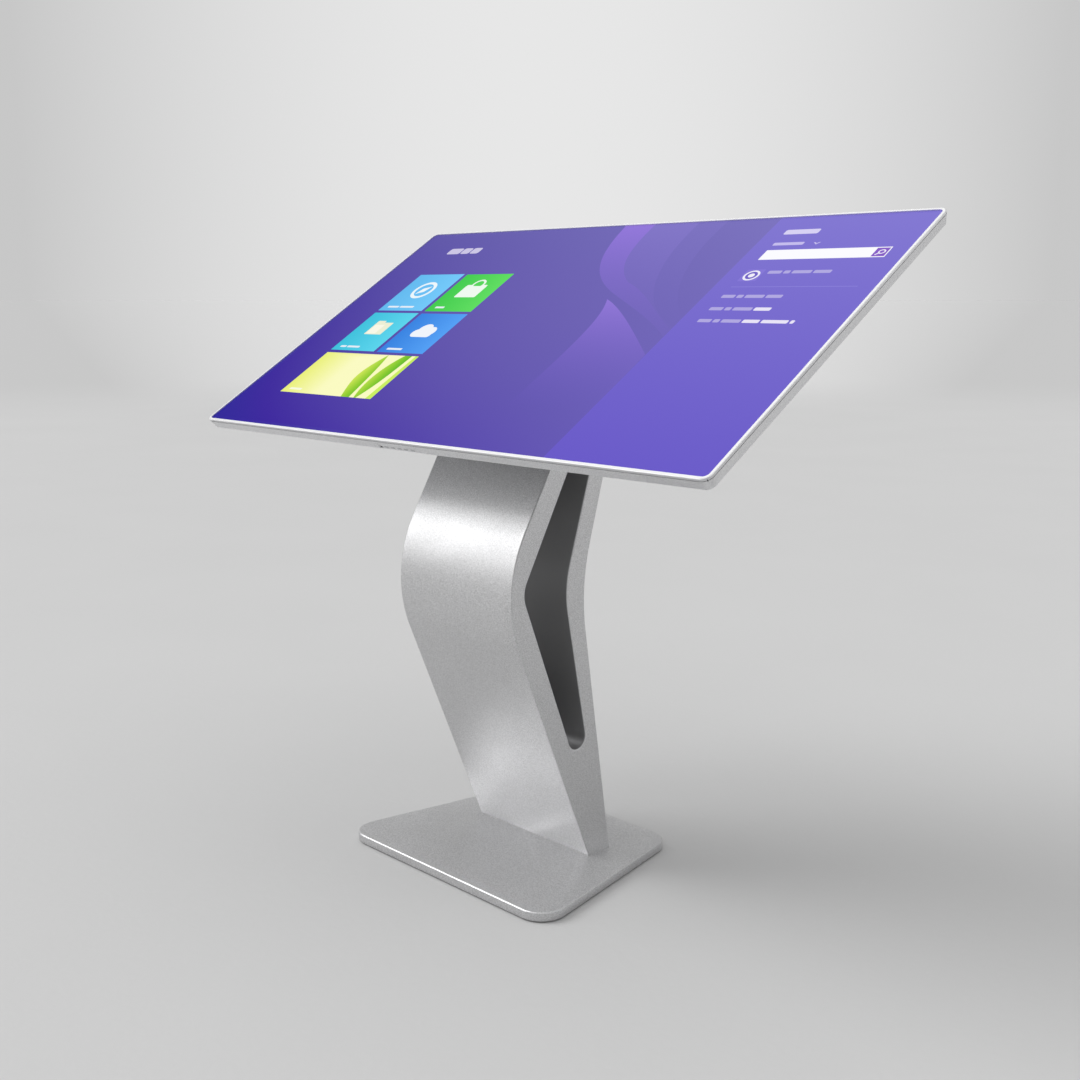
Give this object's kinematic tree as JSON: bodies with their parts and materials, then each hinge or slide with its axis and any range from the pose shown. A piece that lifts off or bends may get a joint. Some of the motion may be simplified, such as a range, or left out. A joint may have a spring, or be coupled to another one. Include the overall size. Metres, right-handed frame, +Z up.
{
  "type": "touchscreen kiosk",
  "caption": "Free-standing touchscreen kiosk: wide tilted display slab on a bent two-legged column with a through slot, on a heavy trapezoid floor plate.",
  "frame": {"origin": "on the floor under the middle of the base plate", "axes": "+X along the display towards its right edge as the visitor sees it, -Y towards the visitor, +Z up"},
  "size_m": [1.2198, 0.5922, 1.1324],
  "materials": {
    "metallic_silver": "fine metallic silver powder coat, satin",
    "silver_back": "metallic silver powder coat, matt",
    "bright_rim": "bright bevelled rim",
    "cover_glass": "polished toughened glass",
    "lit_screen": "lit picture in indigo and violet",
    "clear_sheet": "clear and frosted optical sheet",
    "black_rubber": "matt rubber",
    "cable_jacket": "matt cable jacket",
    "zinc_steel": "zinc-plated sheet steel",
    "plated_steel": "bright plated fasteners",
    "black_aluminium": "black anodised",
    "circuit_board": "green circuit board",
    "module_case": "grey sheet-steel case",
    "black_plastic": "moulded black plastic"
  },
  "bodies": {
    "kiosk": {"backlight_board": "circuit_board", "base_plate": "metallic_silver", "cable_grommet": "black_rubber", "column_bolts": "plated_steel", "column_front_skin": "metallic_silver", "column_rear_skin": "metallic_silver", "column_ribs": "zinc_steel", "column_side_left": "metallic_silver", "column_side_right": "metallic_silver", "cover_glass": "cover_glass", "cover_screws": "plated_steel", "diffuser_sheet": "clear_sheet", "fan_frame_left": "black_plastic", "fan_frame_right": "black_plastic", "floor_pads": "black_rubber", "foot_block": "zinc_steel", "frame_brackets": "zinc_steel", "front_frame": "bright_rim", "head_bolts": "plated_steel", "head_plate": "zinc_steel", "heat_sink": "black_aluminium", "hinge_pins": "plated_steel", "housing_hinge_leaves": "plated_steel", "housing_screws": "plated_steel", "key_board": "circuit_board", "lcd_panel": "lit_screen", "led_strips": "circuit_board", "light_guide": "clear_sheet", "main_board": "circuit_board", "mains_cable": "cable_jacket", "media_player": "module_case", "mounting_plate": "zinc_steel", "mounting_rails": "zinc_steel", "panel_backplate": "zinc_steel", "power_supply": "module_case", "rear_cover": "silver_back", "rear_housing": "silver_back", "seam_gasket": "black_rubber", "sensor_window": "black_plastic", "side_frame": "metallic_silver", "slot_liner": "metallic_silver", "speaker_left": "black_plastic", "speaker_right": "black_plastic", "switch_body": "black_plastic", "terminal_box": "black_plastic", "touch_board": "circuit_board", "touch_sensor": "clear_sheet"},
    "service_door": {"service_door": "silver_back", "door_hinge_leaves": "plated_steel", "lock_sleeve": "plated_steel"},
    "door_latch": {"lock_cylinder": "plated_steel", "lock_cam": "plated_steel"},
    "mains_rocker": {"mains_rocker": "black_plastic"},
    "fan_rotor_left": {"fan_rotor_left": "black_plastic"},
    "fan_rotor_right": {"fan_rotor_right": "black_plastic"},
    "input_key": {"input_key": "black_plastic"},
    "menu_key": {"menu_key": "black_plastic"},
    "minus_key": {"minus_key": "black_plastic"},
    "plus_key": {"plus_key": "black_plastic"},
    "power_key": {"power_key": "black_plastic"}
  },
  "joints": [
    {"name": "service_door_hinge", "type": "hinge", "parent": "kiosk", "child": "service_door", "pos_m": [0.176, 0.21197, 0.96601], "axis": [0, -0.8466, -0.5323], "range_deg": [0, 110]},
    {"name": "door_latch_turn", "type": "hinge", "parent": "service_door", "child": "door_latch", "pos_m": [-0.148, 0.21, 0.96914], "axis": [0, -0.5323, 0.8466], "range_deg": [0, 90]},
    {"name": "mains_rocker_tilt", "type": "hinge", "parent": "kiosk", "child": "mains_rocker", "pos_m": [0.29, 0.13328, 0.92208], "axis": [0, 0.8466, 0.5323], "range_deg": [0, 12]},
    {"name": "fan_left_spin", "type": "hinge", "parent": "kiosk", "child": "fan_rotor_left", "pos_m": [-0.29, 0.05375, 0.89452], "axis": [0, 0.5323, -0.8466], "continuous": true},
    {"name": "fan_right_spin", "type": "hinge", "parent": "kiosk", "child": "fan_rotor_right", "pos_m": [0.29, 0.05375, 0.89452], "axis": [0, 0.5323, -0.8466], "continuous": true},
    {"name": "input_key_press", "type": "slide", "parent": "kiosk", "child": "input_key", "axis": [0, 0.6993, 0.7148], "range_m": [0, 0.0008], "stiffness_N_per_m": 1500, "springref_m": -0.0008},
    {"name": "menu_key_press", "type": "slide", "parent": "kiosk", "child": "menu_key", "axis": [0, 0.6993, 0.7148], "range_m": [0, 0.0008], "stiffness_N_per_m": 1500, "springref_m": -0.0008},
    {"name": "minus_key_press", "type": "slide", "parent": "kiosk", "child": "minus_key", "axis": [0, 0.6993, 0.7148], "range_m": [0, 0.0008], "stiffness_N_per_m": 1500, "springref_m": -0.0008},
    {"name": "plus_key_press", "type": "slide", "parent": "kiosk", "child": "plus_key", "axis": [0, 0.6993, 0.7148], "range_m": [0, 0.0008], "stiffness_N_per_m": 1500, "springref_m": -0.0008},
    {"name": "power_key_press", "type": "slide", "parent": "kiosk", "child": "power_key", "axis": [0, 0.6993, 0.7148], "range_m": [0, 0.0008], "stiffness_N_per_m": 1500, "springref_m": -0.0008}
  ]
}
